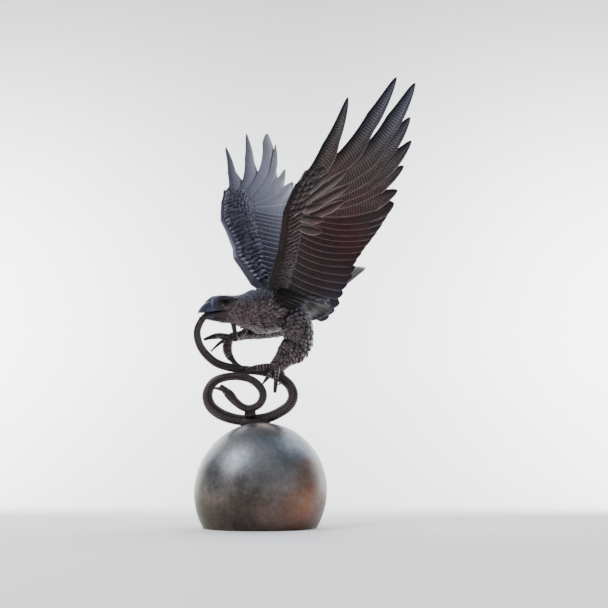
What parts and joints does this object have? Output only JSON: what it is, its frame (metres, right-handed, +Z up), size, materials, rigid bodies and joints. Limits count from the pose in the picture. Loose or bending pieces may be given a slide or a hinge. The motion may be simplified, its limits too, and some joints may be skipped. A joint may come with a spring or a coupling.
{
  "type": "cast bronze sculpture of an eagle and a snake on a ball",
  "caption": "Cast bronze sculpture: an eagle with raised wings grips a coiled snake in beak and claws, standing on a ball cut flat to stand.",
  "frame": {"origin": "middle of the round flat under the ball, on the surface that it stands on", "axes": "+Z up; the eagle heads towards -X and -Y at 45 degrees; its left wing leans towards +X and -Y"},
  "size_m": [0.8815, 0.7813, 1.9414],
  "materials": {
    "ball_bronze": "glossy brown bronze, brushed, with blue-grey sheen and copper patches",
    "snake_bronze": "dark red-brown patinated bronze with fine scales",
    "eagle_bronze": "dark blue-grey patinated bronze with brown hollows, feathers in relief"
  },
  "bodies": {
    "root": {"ball": "ball_bronze", "snake": "snake_bronze", "eagle": "eagle_bronze"}
  },
  "joints": []
}
